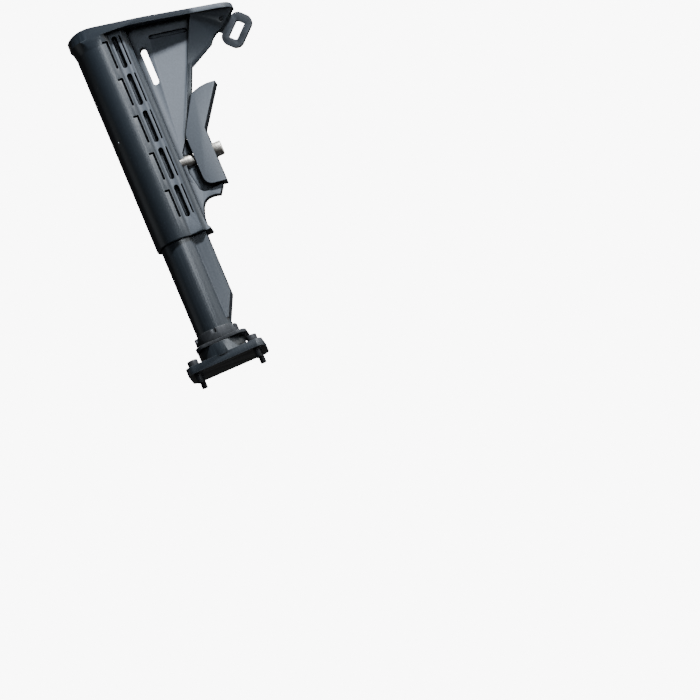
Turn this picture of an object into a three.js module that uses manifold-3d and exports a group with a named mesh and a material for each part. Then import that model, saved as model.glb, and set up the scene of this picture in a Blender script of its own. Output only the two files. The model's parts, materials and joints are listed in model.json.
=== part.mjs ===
// Adjustable shoulder stock for a paintball marker, on its extension tube.
//
// Frame: millimetres, +X to the rear along the tube, +Z up, -Y is the left side.
// The origin is the centre of the front face of the mounting adapter.
// The stock stands at its longest setting and slides forward from there.
import * as THREE from "three";
import { mergeVertices } from "three/addons/utils/BufferGeometryUtils.js";
import Module from "manifold-3d";

const wasm = await Module();
wasm.setup();

// ---- driving dimensions -------------------------------------------------
const GAP = 0.35;                // clearance between neighbouring pieces
const STOCK_FRONT_X = 100;       // front rim of the stock at its longest setting
const SETTING_PITCH = 12;        // distance between two locking holes
const SETTINGS = 7;

const TUBE_RADIUS = 14.5;
const TUBE_BORE = 12.4;
const TUBE_FRONT = 6.5;
const TUBE_REAR = 190;
const KEEL_HALF_WIDTH = 8;
const KEEL_BOTTOM = 22.9;        // depth of the keel's underside below the tube axis
const KEEL_FRONT = 50;           // where the keel reaches its full depth
const KEEL_RAMP = 18;            // length of the slope in front of it
const HOLE_RADIUS = 3.9;
const HOLE_DEPTH = 4.2;

const BARREL_RADIUS = 17.3;
const BARREL_FLANK = 12;         // half width beside the keel
const BARREL_BOTTOM = 25.7;
const BARREL_CHAMFER = 3.5;      // between the flank and the underside
const BORE_DEPTH = 172;
const WEB_HALF = 4;
const RECESS_DEPTH = 1.8;        // of the recess beside the butt, on each side of the web
const CREASE_START = [77, -38.6]; // the crease where the web starts to thin out
const CREASE_SLOPE = -0.434;
const RIM_HEIGHT = 2.9;          // width of the thinned rim below the crease
const TOE_EDGE_HALF = 2.5;       // half thickness at the toe's front edge
const TOE_FLARE = 0.35;          // gain of half thickness per millimetre behind that edge
const TOE_EDGE_LOW = [123, -62.2];
const TOE_EDGE_HIGH = [133, -81.7];
const RIB_HALF = 1.8;            // rib of the web inside the lever's channel
const HORN_HALF = 4.5;
const BUTT_REAR = 179.3;         // rear face at the height of the tube axis
const BUTT_RAKE = 0.216;         // how far the rear face comes forward per millimetre down
const BUTT_THICKNESS = 4.4;
const BUTT_TOP = 19.5;
const BUTT_BOTTOM = 107.8;
const BUTT_HALF_WIDTH = 17.5;
const TOE_HALF_WIDTH = 11;

const PIN_X = 56.4;              // lock pin, from the stock's front rim
const PIN_TOP = -19.5;
const LEVER_HALF = 7;
const LEVER_INNER_HALF = 4.4;
const LEVER_PLATE = 3;
const FULCRUM = [76, -43.6];
const SLING_PIN = [147.2, -96];  // the pin that holds the sling loop in the toe

const STOCK_COLOUR = 0x24272b;
const TUBE_COLOUR = 0x1d2024;
const STEEL_COLOUR = 0xb4b2aa;
const BLACK_STEEL_COLOUR = 0x17191b;

const plastic = () => new THREE.MeshStandardMaterial({ color: STOCK_COLOUR, roughness: 0.6 });
const anodised = () =>
  new THREE.MeshStandardMaterial({ color: TUBE_COLOUR, roughness: 0.45, metalness: 0.6 });
const steel = () =>
  new THREE.MeshStandardMaterial({ color: STEEL_COLOUR, roughness: 0.3, metalness: 1 });
const blackSteel = () =>
  new THREE.MeshStandardMaterial({ color: BLACK_STEEL_COLOUR, roughness: 0.5, metalness: 0.7 });

// ---- solids -------------------------------------------------------------
function solid(geometry) {
  const bare = geometry.clone();
  bare.deleteAttribute("normal");
  bare.deleteAttribute("uv");
  const merged = mergeVertices(bare, 1e-4);
  return new wasm.Manifold(new wasm.Mesh({
    numProp: 3,
    vertProperties: new Float32Array(merged.attributes.position.array),
    triVerts: new Uint32Array(merged.index.array),
  }));
}

function geometryOf(manifold) {
  const mesh = manifold.getMesh();
  const geometry = new THREE.BufferGeometry();
  geometry.setAttribute("position", new THREE.BufferAttribute(mesh.vertProperties, 3));
  geometry.setIndex(new THREE.BufferAttribute(mesh.triVerts, 1));
  geometry.computeVertexNormals();
  return geometry;
}

const join = (...parts) => parts.reduce((sum, part) => sum.add(part));
const cut = (body, ...tools) => tools.reduce((rest, tool) => rest.subtract(tool), body);

function piece(name, body, material) {
  const geometry = body instanceof THREE.BufferGeometry ? body : geometryOf(body);
  const mesh = new THREE.Mesh(geometry, material);
  mesh.name = name;
  return mesh;
}

// A side outline in (x, z), made into a plate of the given half width across Y.
function plateGeometry(shape, half, curveSegments = 10) {
  const options = { depth: 2 * half, bevelEnabled: false, curveSegments };
  return new THREE.ExtrudeGeometry(shape, options).translate(0, 0, -half).rotateX(Math.PI / 2);
}

const plate = (shape, half, curveSegments) => solid(plateGeometry(shape, half, curveSegments));

// An end outline in (y, z), made into a bar from x = start to x = end.
function bar(shape, start, end, bevel = 0, curveSegments = 24) {
  const options = {
    depth: end - start - 2 * bevel,
    bevelEnabled: bevel > 0,
    bevelThickness: bevel,
    bevelSize: bevel,
    bevelOffset: -bevel,
    bevelSegments: 2,
    curveSegments,
  };
  const toX = new THREE.Matrix4().makeBasis(
    new THREE.Vector3(0, 1, 0), new THREE.Vector3(0, 0, 1), new THREE.Vector3(1, 0, 0));
  return solid(new THREE.ExtrudeGeometry(shape, options).applyMatrix4(toX)
    .translate(start + bevel, 0, 0));
}

function polygon(points) {
  return new THREE.Shape(points.map(([x, y]) => new THREE.Vector2(x, y)));
}

function rodX(radius, start, end, y = 0, z = 0, segments = 32) {
  return solid(new THREE.CylinderGeometry(radius, radius, end - start, segments)
    .rotateZ(Math.PI / 2).translate((start + end) / 2, y, z));
}

function rodY(radius, half, x, z, segments = 24) {
  return solid(new THREE.CylinderGeometry(radius, radius, 2 * half, segments).translate(x, 0, z));
}

function rodZ(radius, bottom, top, x, segments = 32) {
  return solid(new THREE.CylinderGeometry(radius, radius, top - bottom, segments)
    .rotateX(Math.PI / 2).translate(x, 0, (bottom + top) / 2));
}

function box(start, end) {
  const size = end.map((value, i) => value - start[i]);
  const middle = end.map((value, i) => (value + start[i]) / 2);
  return solid(new THREE.BoxGeometry(...size).translate(...middle));
}

// A rounded rectangle of the given half sizes, turned by angle about its centre.
function roundedRectangle(centre, halfLength, halfWidth, radius, angle = 0) {
  const shape = new THREE.Shape();
  const turn = (x, y) => [
    centre[0] + x * Math.cos(angle) - y * Math.sin(angle),
    centre[1] + x * Math.sin(angle) + y * Math.cos(angle),
  ];
  const corners = [[1, -1, 0], [1, 1, 1], [-1, 1, 2], [-1, -1, 3]];
  for (const [sideX, sideY, quarter] of corners) {
    const [x, y] = turn(sideX * (halfLength - radius), sideY * (halfWidth - radius));
    const from = angle + (quarter - 1) * Math.PI / 2;
    shape.absarc(x, y, radius, from, from + Math.PI / 2, false);
  }
  return shape;
}

// The stock's section: a circle with a straight-sided box hanging from it.
function keyhole(radius, halfWidth, bottom, chamfer) {
  const angle = Math.asin(halfWidth / radius);
  const shape = new THREE.Shape();
  shape.absarc(0, 0, radius, -Math.PI / 2 + angle, Math.PI * 1.5 - angle, false);
  shape.lineTo(-halfWidth, -bottom + chamfer);
  shape.lineTo(-halfWidth + chamfer, -bottom);
  shape.lineTo(halfWidth - chamfer, -bottom);
  shape.lineTo(halfWidth, -bottom + chamfer);
  return shape;
}

const buttRearAt = (z) => BUTT_REAR + BUTT_RAKE * z;
const creaseAt = (x) => CREASE_START[1] + CREASE_SLOPE * (x - CREASE_START[0]);

// ---- stock body ---------------------------------------------------------
function buttOutline() {
  const rear = new THREE.Shape();
  const toeRise = 10;
  rear.absarc(0, BUTT_TOP - BUTT_HALF_WIDTH, BUTT_HALF_WIDTH, 0, Math.PI, false);
  rear.lineTo(-BUTT_HALF_WIDTH, -42);
  rear.lineTo(-TOE_HALF_WIDTH, -BUTT_BOTTOM + toeRise);
  rear.quadraticCurveTo(-TOE_HALF_WIDTH + 0.5, -BUTT_BOTTOM, 0, -BUTT_BOTTOM);
  rear.quadraticCurveTo(TOE_HALF_WIDTH - 0.5, -BUTT_BOTTOM, TOE_HALF_WIDTH, -BUTT_BOTTOM + toeRise);
  rear.lineTo(BUTT_HALF_WIDTH, -42);
  return rear;
}

function buttFlange() {
  const crown = bar(buttOutline(), 130, BUTT_REAR + 8, 0, 20);
  const side = new THREE.Shape();
  side.moveTo(buttRearAt(-BUTT_BOTTOM) - BUTT_THICKNESS, -BUTT_BOTTOM - 2);
  side.lineTo(buttRearAt(-BUTT_BOTTOM) - 2, -BUTT_BOTTOM - 2);
  side.quadraticCurveTo(buttRearAt(-107.4), -107.4, buttRearAt(-105), -105);
  side.lineTo(buttRearAt(-5), -5);
  side.quadraticCurveTo(buttRearAt(6), 6, 177.6, 16.5);
  side.lineTo(176.2, BUTT_TOP + 0.5);
  side.lineTo(176.2, BUTT_TOP + 2);
  side.lineTo(170, BUTT_TOP + 2);
  side.lineTo(170, 4);
  side.quadraticCurveTo(171, -12, buttRearAt(-30) - BUTT_THICKNESS, -30);
  const grooves = [];
  for (let z = 2; z > -96; z -= 8) {
    grooves.push(rodY(1, z > -45 ? 13.5 : 8.5, buttRearAt(z) + 0.3, z, 10));
  }
  return cut(crown.intersect(plate(side, 24, 12)), ...grooves);
}

// The heel swells from the barrel to the butt's rim.
function heel() {
  const profile = [
    [0, 160], [BARREL_RADIUS - 0.3, 160], [BARREL_RADIUS + 0.1, 163], [BARREL_RADIUS + 1.1, 168],
    [BUTT_TOP, 171], [0, 171],
  ].map(([radius, x]) => new THREE.Vector2(radius, x));
  const swell = solid(new THREE.LatheGeometry(profile, 48).rotateZ(-Math.PI / 2));
  return swell.intersect(box([150, -BUTT_HALF_WIDTH, -10], [172, BUTT_HALF_WIDTH, 30]));
}

function web() {
  const outline = polygon([
    [22, -20], [BUTT_REAR - 5, -20], [buttRearAt(-78) - 1, -78], [158, creaseAt(158)],
    CREASE_START, [63.4, -29.4], [47, -28.3], [30, -31.5], [22, -27],
  ]);
  const rim = polygon([
    [CREASE_START[0], CREASE_START[1] + 3], [130, creaseAt(130) + 3],
    [130, creaseAt(130) - RIM_HEIGHT], [CREASE_START[0], CREASE_START[1] - RIM_HEIGHT],
  ]);
  const rib = polygon([
    [24, -20], [74, -20], [71.5, -38], [71.5, -46], [29.3, -46], [26.5, -43], [26, -36], [24, -33],
  ]);
  return join(plate(outline, WEB_HALF), plate(rim, WEB_HALF - 0.4), plate(rib, RIB_HALF));
}

// The toe flares from a thin front edge out to the butt's rim.
function toe() {
  const shape = new THREE.Shape();
  shape.moveTo(...TOE_EDGE_LOW);
  shape.lineTo(121.5, creaseAt(121.5) + 0.4);
  shape.lineTo(140.3, -66.3);
  shape.lineTo(160, -77.4);
  shape.lineTo(buttRearAt(-98) - 1, -98);
  shape.lineTo(buttRearAt(-107.5) - 1.5, -107.5);
  shape.lineTo(152.8, -107.5);
  shape.lineTo(142.5, -96);
  shape.lineTo(140.8, -92.3);
  shape.quadraticCurveTo(139.6, -85.4, ...TOE_EDGE_HIGH);
  const lean = (TOE_EDGE_HIGH[0] - TOE_EDGE_LOW[0]) / (TOE_EDGE_HIGH[1] - TOE_EDGE_LOW[1]);
  const geometry = plateGeometry(shape, 1);
  const place = geometry.attributes.position;
  for (let i = 0; i < place.count; i += 1) {
    const edge = TOE_EDGE_LOW[0] + lean * (place.getZ(i) - TOE_EDGE_LOW[1]);
    const half = TOE_EDGE_HALF + TOE_FLARE * (place.getX(i) - edge);
    place.setY(i, place.getY(i) * half);
  }
  return solid(geometry).intersect(bar(buttOutline(), 100, 200, 0, 20));
}

// The horn in front of the lever, and the lip under the front rim.
function hornAndLip() {
  const horn = new THREE.Shape();
  horn.moveTo(3, -22);
  horn.lineTo(44, -22);
  horn.lineTo(38, -29);
  horn.quadraticCurveTo(27.5, -30.5, 28.6, -38.6);
  horn.lineTo(29.3, -48.6);
  horn.lineTo(22.8, -44.1);
  horn.quadraticCurveTo(27.6, -31, 17, -28);
  horn.quadraticCurveTo(10, -25.2, 3, -26.6);
  const lip = new THREE.Shape();
  lip.moveTo(0, -20);
  lip.lineTo(9, -20);
  lip.lineTo(9, -BARREL_BOTTOM);
  lip.quadraticCurveTo(4.5, -25.4, 1.2, -28);
  lip.lineTo(0, -27.4);
  return join(plate(horn, HORN_HALF), plate(lip, 9.5));
}

// Rows of blind slots and grooves along both flanks.
function flankCuts() {
  const cuts = [];
  const firstSlot = 14.4;
  const slotPitch = 31.35;
  const slotLength = 26.6;
  const rows = [
    { z: -9.9, halfHeight: 0.9, floor: 12.2, inset: 1.5 },
    { z: -15.8, halfHeight: 2.0, floor: 9.45, inset: 0 },
    { z: -20.3, halfHeight: 0.6, floor: 10.2, inset: 1 },
  ];
  for (let group = 0; group < 5; group += 1) {
    const middle = firstSlot + group * slotPitch + slotLength / 2;
    const rearEnd = middle + slotLength / 2;
    const shapes = rows.map(({ z, halfHeight, floor, inset }) => [
      roundedRectangle([middle, z], slotLength / 2 - inset, halfHeight, halfHeight * 0.98), floor]);
    shapes.push([roundedRectangle([rearEnd - 2.6, -8.6], 0.9, 2.2, 0.8), 12.9]);
    for (const [shape, floor] of shapes) {
      for (const side of [-1, 1]) {
        const depth = 20 - floor;
        const cutter = plateGeometry(shape, depth / 2, 2);
        cuts.push(solid(cutter.translate(0, side * (floor + depth / 2), 0)));
      }
    }
  }
  return cuts;
}

// The long shallow recess beside the butt, on both sides of the web.
function webRecesses() {
  const outline = roundedRectangle([153.6, -54.5], 15, 1.8, 1.7, Math.PI / 2 - 0.21);
  return [-1, 1].map((side) => {
    const cutter = plateGeometry(outline, 2, 3);
    return solid(cutter.translate(0, side * (WEB_HALF - RECESS_DEPTH + 2), 0));
  });
}

function stockBody() {
  const outer = keyhole(BARREL_RADIUS, BARREL_FLANK, BARREL_BOTTOM, BARREL_CHAMFER);
  const barrel = bar(outer, 0, 174, 0.9, 28);
  const shell = join(barrel, heel(), web(), toe(), hornAndLip(), buttFlange());
  const bore = keyhole(TUBE_RADIUS + GAP + 0.05, KEEL_HALF_WIDTH + GAP + 0.05, KEEL_BOTTOM + 0.4, 0.5);
  const slotAlong = roundedRectangle([136, -32], 15.5, 2.4, 2.3);
  const tangSlot = roundedRectangle([146, -95.3], 9, 5.4, 0.5, -Math.PI / 4);
  return cut(shell,
    bar(bore, -1, BORE_DEPTH, 0, 24),
    plate(slotAlong, 20, 3),
    rodX(3, 160, 190),
    rodZ(5.05, -40, -18, PIN_X),
    box([PIN_X - 5.2, -10, -60], [PIN_X + 5.2, 10, -30]),
    plate(tangSlot, 1.9, 4),
    rodY(1.75, 8, ...SLING_PIN, 16),
    ...flankCuts(),
    ...webRecesses());
}

// ---- lock pin and release lever ----------------------------------------
function pinSleeve() {
  const top = -24;
  const bottom = -36.3;
  const tube = rodZ(4.7, bottom, top, PIN_X, 40);
  return cut(tube, rodZ(3.9, bottom + 1.2, top + 1, PIN_X, 40), rodZ(2.6, bottom - 1, top, PIN_X, 24));
}

function lockPin() {
  const nose = solid(new THREE.CylinderGeometry(3.0, 3.5, 0.8, 40)
    .rotateX(Math.PI / 2).translate(PIN_X, 0, PIN_TOP - 0.4));
  const head = rodZ(3.5, -25.6, PIN_TOP - 0.8, PIN_X, 40);
  const shank = rodZ(2.2, -56.8, -25.6, PIN_X, 24);
  return cut(join(nose, head, shank), rodY(1.1, 4, PIN_X, -44, 16));
}

function lockPinSpring() {
  const turns = 5;
  const low = -34.7;
  const high = -26;
  class Helix extends THREE.Curve {
    getPoint(u) {
      const angle = 2 * Math.PI * turns * u;
      return new THREE.Vector3(
        PIN_X + 3.05 * Math.cos(angle), 3.05 * Math.sin(angle), low + (high - low) * u);
    }
  }
  const wire = new THREE.Shape();
  wire.absarc(0, 0, 0.35, 0, Math.PI * 2, false);
  return new THREE.ExtrudeGeometry(wire, {
    steps: 70, curveSegments: 3, extrudePath: new Helix(), bevelEnabled: false,
  });
}

function lockPinNut() {
  const nut = rodZ(5.7, -58.4, -51, PIN_X, 40);
  const rim = solid(new THREE.CylinderGeometry(5.7, 5.2, 0.5, 40)
    .rotateX(Math.PI / 2).translate(PIN_X, 0, -58.65));
  const driverSlot = box([PIN_X - 6, -0.8, -60], [PIN_X + 6, 0.8, -57.8]);
  return cut(join(nut, rim), rodZ(2.5, -57.2, -50, PIN_X, 24), driverSlot);
}

function releaseLever() {
  const side = new THREE.Shape();
  side.moveTo(30, -52.7);
  side.lineTo(31.4, -43.5);
  side.quadraticCurveTo(32.6, -37, 39.5, -36.8);
  side.lineTo(72, -36.8);
  side.quadraticCurveTo(75, -37, 77.5, creaseAt(77.5) + 0.2);
  side.lineTo(102.3, -53);
  side.quadraticCurveTo(107, -63, 104.5, -73.9);
  side.lineTo(73.8, -52.7);
  const channel = polygon([
    [25, -52.7 + LEVER_PLATE], [25, -30], [110, -30], [110, -77.6 + LEVER_PLATE + 0.6],
    [72.8, -52.7 + LEVER_PLATE],
  ]);
  const shell = cut(plate(side, LEVER_HALF, 8), plate(channel, LEVER_INNER_HALF));
  const bridge = new THREE.Shape();
  bridge.moveTo(FULCRUM[0] - 2.1, -52);
  bridge.absarc(FULCRUM[0], FULCRUM[1], 2.1, Math.PI, 0, true);
  bridge.lineTo(FULCRUM[0] + 2.1, -54);
  const window = roundedRectangle([PIN_X - 1.8, -51], 9.4, 4, 0.5);
  const pocket = roundedRectangle([PIN_X - 1.4, -44.2], 3.4, 2.1, 1.9);
  return cut(join(shell, plate(bridge, LEVER_INNER_HALF + 0.5)),
    plate(window, 5.95, 2), plate(pocket, 5.6, 3));
}

// ---- sling loop ---------------------------------------------------------
function slingLoop() {
  const angle = -Math.atan2(0.73, 0.68);
  const ring = roundedRectangle([135.4, -103.7], 13.3, 8.8, 6.2, angle);
  const eye = roundedRectangle([135.1, -103.5], 7.2, 3.5, 1.4, angle);
  const tang = roundedRectangle([145.4, -96], 8, 4.6, 1, -Math.PI / 4);
  const body = cut(join(plate(ring, 2.4, 6), plate(tang, 1.5, 2)), plate(eye, 6, 3));
  return cut(body, rodY(1.8, 8, ...SLING_PIN, 16));
}

// ---- extension tube and its front fittings ------------------------------
function extensionTube() {
  const tube = rodX(TUBE_RADIUS, TUBE_FRONT, TUBE_REAR, 0, 0, 96);
  const keel = plate(polygon([
    [KEEL_FRONT - KEEL_RAMP, -8], [KEEL_FRONT - KEEL_RAMP, -14.2], [KEEL_FRONT, -KEEL_BOTTOM],
    [TUBE_REAR - 3, -KEEL_BOTTOM], [TUBE_REAR - 1, -KEEL_BOTTOM + 2], [TUBE_REAR - 1, -8],
  ]), KEEL_HALF_WIDTH);
  const holes = [];
  for (let i = 0; i < SETTINGS; i += 1) {
    const x = STOCK_FRONT_X + PIN_X - i * SETTING_PITCH;
    holes.push(rodZ(HOLE_RADIUS, -KEEL_BOTTOM - 1, -KEEL_BOTTOM + HOLE_DEPTH, x, 24));
  }
  const bore = rodX(TUBE_BORE, 0, TUBE_REAR + 1, 0, 0, 64);
  return cut(join(tube, keel), bore, ...holes);
}

function tubeEndCap() {
  const plug = rodX(TUBE_BORE - GAP, TUBE_REAR - 8, TUBE_REAR + 0.5, 0, 0, 64);
  const flange = rodX(TUBE_RADIUS - 0.7, TUBE_REAR + GAP, TUBE_REAR + 2.8, 0, 0, 64);
  return cut(join(plug, flange), rodX(2, 0, 300, 0, 0, 24), rodX(9, 0, TUBE_REAR - 2, 0, 0, 32));
}

function lockRing() {
  const start = 18.2;
  const end = 26.2;
  const notches = [];
  for (let i = 0; i < 6; i += 1) {
    const angle = i * Math.PI / 3;
    notches.push(rodX(2, end - 3.5, end + 1, 17.4 * Math.cos(angle), 17.4 * Math.sin(angle), 16));
  }
  return cut(rodX(17.4, start, end, 0, 0, 72), rodX(TUBE_RADIUS + GAP, start - 1, end + 1, 0, 0, 72),
    ...notches);
}

function endPlate() {
  const shape = roundedRectangle([0, -2], 17.6, 20.5, 8);
  return cut(bar(shape, 15.2, 17.8, 0, 4), rodX(TUBE_RADIUS + GAP, 10, 20, 0, 0, 72));
}

const SCREW_PLACES = [[-11, 24], [11, 24], [-11, -24], [11, -24]];

function mountAdapter() {
  const flange = bar(roundedRectangle([0, 0], 18, 31, 6), 0, 6, 0, 4);
  const neck = rodX(18.6, 5, 14.8, 0, 0, 72);
  const socket = rodX(TUBE_RADIUS + GAP, TUBE_FRONT - GAP, 20, 0, 0, 72);
  const holes = SCREW_PLACES.map(([y, z]) => rodX(2.7, -1, 8, y, z, 24));
  return cut(join(flange, neck), socket, ...holes);
}

function adapterScrew(y, z) {
  const shank = rodX(2.3, -7, 8, y, z, 20);
  const head = rodX(4.2, 6.35, 11, y, z, 32);
  const hexagon = rodX(2.4, 8.5, 12, y, z, 6);
  return cut(join(shank, head), hexagon);
}

// ---- the assembly -------------------------------------------------------
const group = new THREE.Group();

group.add(piece("mount_adapter", mountAdapter(), anodised()));
group.add(piece("end_plate", endPlate(), blackSteel()));
group.add(piece("lock_ring", lockRing(), blackSteel()));
group.add(piece("extension_tube", extensionTube(), anodised()));
group.add(piece("tube_end_cap", tubeEndCap(), plastic()));
SCREW_PLACES.forEach(([y, z], i) => {
  group.add(piece(`adapter_screw_${i + 1}`, adapterScrew(y, z), blackSteel()));
});

const stock = new THREE.Group();
stock.position.x = STOCK_FRONT_X;
stock.add(piece("stock_body", stockBody(), plastic()));
stock.add(piece("pin_sleeve", pinSleeve(), steel()));
stock.add(piece("lock_pin", lockPin(), steel()));
stock.add(piece("lock_pin_spring", lockPinSpring(), steel()));
stock.add(piece("lock_pin_nut", lockPinNut(), steel()));
stock.add(piece("lever_cross_pin", rodY(1, 5.3, PIN_X, -44, 16), steel()));
stock.add(piece("release_lever", releaseLever(), plastic()));
stock.add(piece("sling_loop", slingLoop(), blackSteel()));
stock.add(piece("sling_loop_pin", rodY(1.45, 4.4, ...SLING_PIN, 16), steel()));
group.add(stock);

export default group;
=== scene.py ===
"""Looks for the adjustable marker stock: materials, soft edges, studio light and camera."""

import json
import math

import bpy
from mathutils import Matrix, Vector


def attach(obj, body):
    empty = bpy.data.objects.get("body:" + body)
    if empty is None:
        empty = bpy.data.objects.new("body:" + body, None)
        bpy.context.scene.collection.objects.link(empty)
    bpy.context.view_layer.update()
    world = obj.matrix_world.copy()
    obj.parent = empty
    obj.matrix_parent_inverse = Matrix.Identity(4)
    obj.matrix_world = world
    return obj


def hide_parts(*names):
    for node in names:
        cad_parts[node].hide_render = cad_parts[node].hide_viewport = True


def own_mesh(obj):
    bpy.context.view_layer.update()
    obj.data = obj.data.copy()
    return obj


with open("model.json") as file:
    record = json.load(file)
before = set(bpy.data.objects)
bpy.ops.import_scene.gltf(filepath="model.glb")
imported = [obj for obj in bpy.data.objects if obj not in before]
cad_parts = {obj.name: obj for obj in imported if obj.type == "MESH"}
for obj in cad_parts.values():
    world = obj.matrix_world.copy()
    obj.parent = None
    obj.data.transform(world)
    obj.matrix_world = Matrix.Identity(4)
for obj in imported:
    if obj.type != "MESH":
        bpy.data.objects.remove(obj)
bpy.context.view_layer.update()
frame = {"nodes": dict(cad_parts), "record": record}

MM = 0.001

# The view: the camera stands on the left, turned towards the front and a little low.
VIEW_TURN = math.radians(13)
VIEW_RISE = math.radians(2.5)
VIEW_ROLL = math.radians(23)      # the stock leans this far to the left of upright
STOCK_MIDDLE = Vector((0.19, 0.0, 0.0))
MIDDLE_FROM_CENTRE = Vector((-0.1630, 0.1597))   # where that point stands in the picture plane
LENS = 400.0
SENSOR = 36.0
CAMERA_DISTANCE = 5.872
AMBIENT = 0.05                    # strength of the white surroundings as light
BACKDROP = 9.0                    # and as seen behind the object

COOL_WHITE = (0.88, 0.94, 1.0)
# Name, direction from the object, distance and size in metres, power in watts, colour.
LIGHTS = (
    ("key", (0.84, -0.42, -0.36), 1.6, 0.14, 122, (0.94, 0.97, 1.0)),
    ("fill", (-0.25, -1, -0.35), 1.6, 0.5, 0.6, COOL_WHITE),
    ("strip", (0.30, -0.82, -0.50), 1.6, 0.65, 11, COOL_WHITE),
    ("top", (0.0, -0.25, 1.0), 1.6, 0.9, 1.2, COOL_WHITE),
    ("rim", (0.9, 1.0, 0.25), 1.5, 0.8, 26, (1, 1, 1)),
)

FLOOR_RADIUS = 1.1
FLOOR_HEIGHT = -1.2               # far enough down to stand clear of the lights
FLOOR_MIDDLE_X = 0.14

# The lock pin's spring.
PIN_PLACE = 156.4 * MM
SPRING_ENDS = (-34.7 * MM, -26 * MM)
SPRING_COILS = 5
COIL_RADIUS = 3.05 * MM
WIRE_RADIUS = 0.34 * MM

# Base colours, and the reach of each pattern.
# The rubbed-edge colours are part wear and part painted highlight.
NYLON_RUBBED_EDGE_AND_HIGHLIGHT = (0.075, 0.085, 0.098)
ANODISED_DARK = (0.009, 0.012, 0.016)
ANODISED_LIGHT = (0.010, 0.0135, 0.018)
ANODISED_RUBBED = (0.022, 0.026, 0.032)
ANODISED_PAINTED_LIGHT_FLATS = (0.028, 0.033, 0.040)
ANODISED_RUBBED_EDGE_AND_HIGHLIGHT = (0.12, 0.125, 0.13)
STEEL_RUBBED_EDGE_AND_HIGHLIGHT = (0.09, 0.09, 0.092)
GRAIN_AND_PAINTED_LIGHT_REACH = 13 * MM             # the nylon's grained sides, which also carry painted light, stand within this of the middle
KEEL_REACH = 9 * MM               # and the keel's sides, which carry painted light, within this
EDGE_REACH = 0.5 * MM             # width of the rubbed edges, which also carry a painted highlight
PAINTED_SHADE_REACH = 5.5 * MM           # how near a wall has to be to paint shade into a recess

EDGE_WIDTHS_MM = {
    "stock_body": 0.45,
    "release_lever": 0.5,
    "extension_tube": 0.4,
    "mount_adapter": 0.5,
    "end_plate": 0.3,
    "lock_ring": 0.3,
    "sling_loop": 0.6,
    "lock_pin_nut": 0.2,
    "pin_sleeve": 0.2,
    "lock_pin": 0.15,
    "tube_end_cap": 0.3,
    "adapter_screw_1": 0.25,
    "adapter_screw_2": 0.25,
    "adapter_screw_3": 0.25,
    "adapter_screw_4": 0.25,
}


# ---- camera, light and floor ---------------------------------------------
def picture_axes():
    """Right, up and forward of the picture, in the row frame."""
    forward = Vector((
        math.sin(VIEW_TURN) * math.cos(VIEW_RISE),
        math.cos(VIEW_TURN) * math.cos(VIEW_RISE),
        math.sin(VIEW_RISE),
    ))
    along = Vector((1, 0, 0))
    along = (along - forward * along.dot(forward)).normalized()
    across = forward.cross(along)
    right = -math.sin(VIEW_ROLL) * along + math.cos(VIEW_ROLL) * across
    up = math.cos(VIEW_ROLL) * along + math.sin(VIEW_ROLL) * across
    return right, up, forward


def add_camera():
    right, up, forward = picture_axes()
    target = STOCK_MIDDLE - right * MIDDLE_FROM_CENTRE.x - up * MIDDLE_FROM_CENTRE.y
    data = bpy.data.cameras.new("camera")
    data.lens = LENS
    data.sensor_width = SENSOR
    data.clip_end = 20
    camera = bpy.data.objects.new("camera", data)
    bpy.context.collection.objects.link(camera)
    turn = Matrix((right, up, -forward)).transposed().to_4x4()
    camera.matrix_world = Matrix.Translation(target - forward * CAMERA_DISTANCE) @ turn
    bpy.context.scene.camera = camera
    return target


def add_area(target, name, direction, distance, size, power, colour):
    data = bpy.data.lights.new(name, "AREA")
    data.shape = "DISK"
    data.size = size
    data.energy = power
    data.color = colour
    light = bpy.data.objects.new(name, data)
    bpy.context.collection.objects.link(light)
    towards = Vector(direction).normalized()
    light.location = target + towards * distance
    light.rotation_mode = "QUATERNION"
    light.rotation_quaternion = towards.to_track_quat("Z", "Y")


def add_world():
    world = bpy.data.worlds.new("studio")
    bpy.context.scene.world = world
    world.use_nodes = True
    nodes, links = world.node_tree.nodes, world.node_tree.links
    background = nodes["Background"]
    background.inputs["Color"].default_value = (1.0, 1.0, 1.0, 1)
    seen = nodes.new("ShaderNodeLightPath").outputs["Is Camera Ray"]
    strength = spread(nodes, links, seen, 0.0, 1.0, AMBIENT, BACKDROP)
    links.new(strength, background.inputs["Strength"])


def add_floor():
    mesh = bpy.data.meshes.new("floor")
    steps = 96
    rim = []
    for step in range(steps):
        turn = 2 * math.pi * step / steps
        across = FLOOR_MIDDLE_X + FLOOR_RADIUS * math.cos(turn)
        rim.append((across, FLOOR_RADIUS * math.sin(turn), FLOOR_HEIGHT))
    mesh.from_pydata(rim, [], [tuple(range(steps))])
    floor = bpy.data.objects.new("floor", mesh)
    bpy.context.collection.objects.link(floor)
    floor.data.materials.append(pale_floor())


# ---- shader nodes --------------------------------------------------------
def new_material(name):
    material = bpy.data.materials.new(name)
    material.use_nodes = True
    nodes = material.node_tree.nodes
    return material, nodes, material.node_tree.links, nodes["Principled BSDF"]


def add_node(nodes, kind, **inputs):
    node = nodes.new(kind)
    for name, value in inputs.items():
        node.inputs[name.replace("_", " ")].default_value = value
    return node


def object_place(nodes, links, scale):
    """Object coordinates, stretched by scale along each axis."""
    place = nodes.new("ShaderNodeTexCoord")
    stretch = add_node(nodes, "ShaderNodeMapping", Scale=scale)
    links.new(place.outputs["Object"], stretch.inputs["Vector"])
    return stretch.outputs["Vector"]


def noise(nodes, links, place, scale, detail=2.0, roughness=0.5):
    node = add_node(nodes, "ShaderNodeTexNoise", Scale=scale, Detail=detail, Roughness=roughness)
    links.new(place, node.inputs["Vector"])
    return node.outputs["Fac"]


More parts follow.
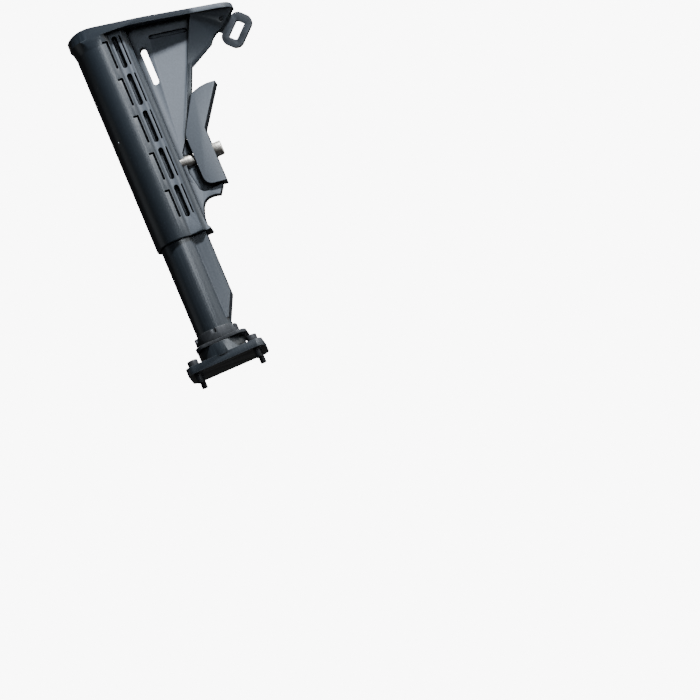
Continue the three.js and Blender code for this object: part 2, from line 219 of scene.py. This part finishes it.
def spread(nodes, links, value, low, high, new_low, new_high):
    node = add_node(nodes, "ShaderNodeMapRange")
    node.inputs["From Min"].default_value = low
    node.inputs["From Max"].default_value = high
    node.inputs["To Min"].default_value = new_low
    node.inputs["To Max"].default_value = new_high
    links.new(value, node.inputs["Value"])
    return node.outputs["Result"]


def multiply(nodes, links, first, second):
    product = nodes.new("ShaderNodeMath")
    product.operation = "MULTIPLY"
    links.new(first, product.inputs[0])
    links.new(second, product.inputs[1])
    return product.outputs[0]


def blend_colours(nodes, links, factor, first, second):
    node = nodes.new("ShaderNodeMix")
    node.data_type = "RGBA"
    links.new(factor, node.inputs["Factor"])
    for socket, value in ((node.inputs["A"], first), (node.inputs["B"], second)):
        if isinstance(value, tuple):
            socket.default_value = (*value, 1)
        else:
            links.new(value, socket)
    return node.outputs["Result"]


def bump(nodes, links, height, distance, strength=1.0, below=None):
    node = add_node(nodes, "ShaderNodeBump", Strength=strength, Distance=distance)
    links.new(height, node.inputs["Height"])
    if below is not None:
        links.new(below, node.inputs["Normal"])
    return node.outputs["Normal"]


def scaled(colour, factor, lift=0.0):
    return tuple(channel * factor + lift for channel in colour)


# ---- materials -----------------------------------------------------------
def pale_floor():
    material, nodes, links, shader = new_material("pale_floor")
    place = object_place(nodes, links, (1, 1, 1))
    tint = spread(nodes, links, noise(nodes, links, place, 3.0), 0.3, 0.7, 0.0, 1.0)
    links.new(blend_colours(nodes, links, tint, (0.80, 0.80, 0.79), (0.83, 0.83, 0.82)),
              shader.inputs["Base Color"])
    shader.inputs["Roughness"].default_value = 0.9
    return material


def edge_wear_and_highlight(nodes, links, place, scale, amount):
    """A mask that is strongest on edges, where a rounded normal leaves the true one: rubbed wear there,
    and a painted highlight on the edges.
    """
    shape = nodes.new("ShaderNodeNewGeometry")
    rounded = nodes.new("ShaderNodeBevel")
    rounded.samples = 6
    rounded.inputs["Radius"].default_value = EDGE_REACH
    match = nodes.new("ShaderNodeVectorMath")
    match.operation = "DOT_PRODUCT"
    links.new(shape.outputs["Normal"], match.inputs[0])
    links.new(rounded.outputs["Normal"], match.inputs[1])
    sharp = spread(nodes, links, match.outputs["Value"], 0.90, 0.995, amount, 0.0)
    patchy = noise(nodes, links, place, scale, 3.0, 0.6)
    broken = spread(nodes, links, patchy, 0.35, 0.65, 0.6, 1.0)
    return multiply(nodes, links, sharp, broken)


def flat_sides(nodes, links, reach):
    """A mask that is 1 on flat faces that look sideways and stand less than reach from the middle."""
    place = nodes.new("ShaderNodeTexCoord")
    masks = []
    for source, low, high in (("Normal", 0.965, 0.99), ("Object", reach + 0.5 * MM, reach)):
        parts = nodes.new("ShaderNodeSeparateXYZ")
        links.new(place.outputs[source], parts.inputs["Vector"])
        size = nodes.new("ShaderNodeMath")
        size.operation = "ABSOLUTE"
        links.new(parts.outputs["Y"], size.inputs[0])
        masks.append(spread(nodes, links, size.outputs[0], low, high, 0.0, 1.0))
    return multiply(nodes, links, *masks)


def moulded_nylon(name, base, grain_and_painted_light):
    """Satin black nylon: glossier on the rounds, paler on its flat sides (grain plus painted light),
    with painted shade in its recesses.
    """
    material, nodes, links, shader = new_material(name)
    place = object_place(nodes, links, (1, 1, 1))
    flow = object_place(nodes, links, (0.35, 1, 1))
    patches = spread(nodes, links, noise(nodes, links, flow, 18.0, 2.0, 0.5), 0.35, 0.7, 0.0, 1.0)
    dust = spread(nodes, links, noise(nodes, links, place, 900.0, 3.0, 0.6), 0.58, 0.75, 0.0, 0.35)
    colour = blend_colours(nodes, links, patches, base, scaled(base, 1.12))
    colour = blend_colours(nodes, links, dust, colour, scaled(base, 1.3, 0.006))
    # Painted light: sideways-looking flat sides take a paler colour, partly their grain and partly the
    # light that falls on them.
    flats = flat_sides(nodes, links, GRAIN_AND_PAINTED_LIGHT_REACH)
    speckle = spread(nodes, links, noise(nodes, links, place, 700.0, 4.0, 0.7), 0.3, 0.7, 0.0, 1.0)
    grain_and_painted_light_colour = blend_colours(nodes, links, speckle, scaled(grain_and_painted_light, 0.85), scaled(grain_and_painted_light, 1.15))
    colour = blend_colours(nodes, links, flats, colour, grain_and_painted_light_colour)
    worn_and_highlight = edge_wear_and_highlight(nodes, links, place, 260.0, 0.7)
    colour = blend_colours(nodes, links, worn_and_highlight, colour, NYLON_RUBBED_EDGE_AND_HIGHLIGHT)
    # Painted shade: near a wall the colour darkens and the reflection weakens, standing in for the shade
    # in recesses.
    hidden = nodes.new("ShaderNodeAmbientOcclusion")
    hidden.samples = 8
    hidden.inputs["Distance"].default_value = PAINTED_SHADE_REACH
    painted_recess_shade = spread(nodes, links, hidden.outputs["AO"], 0.50, 0.88, 1.0, 0.0)
    colour = blend_colours(nodes, links, painted_recess_shade, colour, scaled(base, 0.15))
    links.new(colour, shader.inputs["Base Color"])
    rough = spread(nodes, links, noise(nodes, links, place, 120.0, 4.0, 0.6), 0.3, 0.7, 0.325, 0.345)
    raised = nodes.new("ShaderNodeMath")
    raised.operation = "MULTIPLY_ADD"
    raised.inputs[1].default_value = 0.30
    links.new(flats, raised.inputs[0])
    links.new(rough, raised.inputs[2])
    links.new(raised.outputs[0], shader.inputs["Roughness"])
    shine = spread(nodes, links, painted_recess_shade, 0.0, 1.0, 0.5, 0.04)
    links.new(shine, shader.inputs["Specular IOR Level"])
    grain = bump(nodes, links, noise(nodes, links, place, 1500.0, 2.0, 0.6), 0.00010, 0.35)
    waves = bump(nodes, links, noise(nodes, links, flow, 40.0, 1.0), 0.0003, 0.02, grain)
    links.new(waves, shader.inputs["Normal"])
    return material


def anodised_black(name):
    """Satin black anodising over fine turning lines, with rub marks along the slide's travel and painted
    light on the keel's flat sides.
    """
    material, nodes, links, shader = new_material(name)
    place = object_place(nodes, links, (1, 1, 1))
    rings = object_place(nodes, links, (60, 0.4, 0.4))
    streaks = object_place(nodes, links, (0.5, 30, 30))
    rubbed = spread(nodes, links, noise(nodes, links, streaks, 22.0, 4.0, 0.65), 0.56, 0.72, 0.0, 0.18)
    tint = spread(nodes, links, noise(nodes, links, place, 30.0, 2.0), 0.35, 0.65, 0.0, 1.0)
    colour = blend_colours(nodes, links, tint, ANODISED_DARK, ANODISED_LIGHT)
    colour = blend_colours(nodes, links, rubbed, colour, ANODISED_RUBBED)
    # Painted light: the keel's flat sides take a paler colour for the light that falls on them.
    flats = flat_sides(nodes, links, KEEL_REACH)
    colour = blend_colours(nodes, links, flats, colour, ANODISED_PAINTED_LIGHT_FLATS)
    worn_and_highlight = edge_wear_and_highlight(nodes, links, place, 300.0, 0.4)
    colour = blend_colours(nodes, links, worn_and_highlight, colour, ANODISED_RUBBED_EDGE_AND_HIGHLIGHT)
    links.new(colour, shader.inputs["Base Color"])
    shader.inputs["Metallic"].default_value = 0.1
    rough = spread(nodes, links, noise(nodes, links, streaks, 30.0, 3.0), 0.3, 0.7, 0.30, 0.37)
    links.new(rough, shader.inputs["Roughness"])
    turned = bump(nodes, links, noise(nodes, links, rings, 40.0, 2.0), 0.00006, 0.4)
    links.new(bump(nodes, links, noise(nodes, links, place, 2200.0), 0.00004, 0.3, turned),
              shader.inputs["Normal"])
    return material


def blackened_steel(name, base, rough_low, rough_high):
    """Black phosphate or paint on steel, thin at the edges, which also carry a painted highlight."""
    material, nodes, links, shader = new_material(name)
    place = object_place(nodes, links, (1, 1, 1))
    tint = spread(nodes, links, noise(nodes, links, place, 220.0, 5.0, 0.65), 0.35, 0.65, 0.0, 1.0)
    colour = blend_colours(nodes, links, tint, base, scaled(base, 1.7))
    worn_and_highlight = edge_wear_and_highlight(nodes, links, place, 420.0, 0.4)
    colour = blend_colours(nodes, links, worn_and_highlight, colour, STEEL_RUBBED_EDGE_AND_HIGHLIGHT)
    links.new(colour, shader.inputs["Base Color"])
    shader.inputs["Metallic"].default_value = 0.2
    shader.inputs["Specular IOR Level"].default_value = 0.2
    rough = spread(nodes, links, noise(nodes, links, place, 500.0, 3.0), 0.3, 0.7, rough_low, rough_high)
    links.new(rough, shader.inputs["Roughness"])
    links.new(bump(nodes, links, noise(nodes, links, place, 1600.0, 3.0), 0.00007, 0.5),
              shader.inputs["Normal"])
    return material


def bright_steel(name, base, line_scale):
    """Turned zinc-plated steel: fine rings round its axis, slight tarnish."""
    material, nodes, links, shader = new_material(name)
    place = object_place(nodes, links, (1, 1, 1))
    rings = object_place(nodes, links, line_scale)
    tarnish = spread(nodes, links, noise(nodes, links, place, 260.0, 4.0, 0.6), 0.4, 0.7, 0.0, 1.0)
    colour = blend_colours(nodes, links, tarnish, base, scaled(base, 0.72))
    links.new(colour, shader.inputs["Base Color"])
    shader.inputs["Metallic"].default_value = 1.0
    rough = spread(nodes, links, noise(nodes, links, rings, 60.0, 3.0), 0.3, 0.7, 0.32, 0.42)
    links.new(rough, shader.inputs["Roughness"])
    links.new(bump(nodes, links, noise(nodes, links, rings, 40.0, 2.0), 0.00003, 0.25),
              shader.inputs["Normal"])
    return material


# ---- pieces --------------------------------------------------------------
def coil_spring(material):
    """A round-wire coil in place of the CAD one, fixed to the stock."""
    low, high = SPRING_ENDS
    steps = 44 * SPRING_COILS
    around = 12
    verts = []
    for step in range(steps + 1):
        share = step / steps
        angle = 2 * math.pi * SPRING_COILS * share
        out = Vector((math.cos(angle), math.sin(angle), 0))
        middle = Vector((PIN_PLACE, 0, low + (high - low) * share)) + out * COIL_RADIUS
        for side in range(around):
            turn = 2 * math.pi * side / around
            around_wire = out * math.cos(turn) + Vector((0, 0, math.sin(turn)))
            verts.append(middle + around_wire * WIRE_RADIUS)
    faces = []
    for step in range(steps):
        for side in range(around):
            first = step * around + side
            second = step * around + (side + 1) % around
            faces.append((first, second, second + around, first + around))
    faces.append(tuple(range(around - 1, -1, -1)))
    faces.append(tuple(steps * around + side for side in range(around)))
    mesh = bpy.data.meshes.new("coil_spring")
    mesh.from_pydata(verts, [], faces)
    mesh.materials.append(material)
    for face in mesh.polygons:
        face.use_smooth = True
    spring = bpy.data.objects.new("coil_spring", mesh)
    bpy.context.collection.objects.link(spring)
    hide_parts("lock_pin_spring")
    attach(spring, "stock")
    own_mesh(spring)


def paint(node, material):
    mesh = frame["nodes"][node].data
    mesh.materials.clear()
    mesh.materials.append(material)
    for face in mesh.polygons:
        face.material_index = 0


def soften(node, width, segments=3, sharp=30):
    """Merges the flat facets, rounds the edges and shades the curves smooth."""
    body = frame["nodes"][node]
    weld = body.modifiers.new("weld", "WELD")
    weld.merge_threshold = 1e-6
    flat = body.modifiers.new("flat", "DECIMATE")
    flat.decimate_type = "DISSOLVE"
    flat.angle_limit = math.radians(1)
    edges = body.modifiers.new("edges", "BEVEL")
    edges.width = width
    edges.segments = segments
    edges.limit_method = "ANGLE"
    edges.angle_limit = math.radians(sharp)
    edges.harden_normals = True
    for face in body.data.polygons:
        face.use_smooth = True


add_world()
target = add_camera()
add_floor()
for light in LIGHTS:
    add_area(target, *light)

# The second colour holds the flat sides' grain together with painted light.
STOCK = moulded_nylon("stock_nylon", (0.0075, 0.0105, 0.0145), (0.038, 0.046, 0.058))
LEVER = moulded_nylon("lever_nylon", (0.009, 0.012, 0.016), (0.033, 0.040, 0.050))
TUBE = anodised_black("tube_anodised")
BLACK = blackened_steel("black_steel", (0.012, 0.013, 0.015), 0.42, 0.6)
LOOP = blackened_steel("loop_steel", (0.010, 0.012, 0.015), 0.45, 0.6)
BRIGHT = bright_steel("bright_steel", (0.60, 0.57, 0.52), (1, 1, 40))
WIRE = bright_steel("spring_wire", (0.42, 0.42, 0.43), (1, 1, 1))

FINISHES = {
    "stock_plastic": STOCK,
    "lever_plastic": LEVER,
    "tube_aluminium": TUBE,
    "black_steel": BLACK,
    "loop_steel": LOOP,
    "bright_steel": BRIGHT,
    "spring_steel": WIRE,
}
for subpart in frame["record"]["subparts"]:
    paint(subpart["node"], FINISHES[subpart["material_slot"]])

for node, width in EDGE_WIDTHS_MM.items():
    soften(node, width * MM)

coil_spring(WIRE)
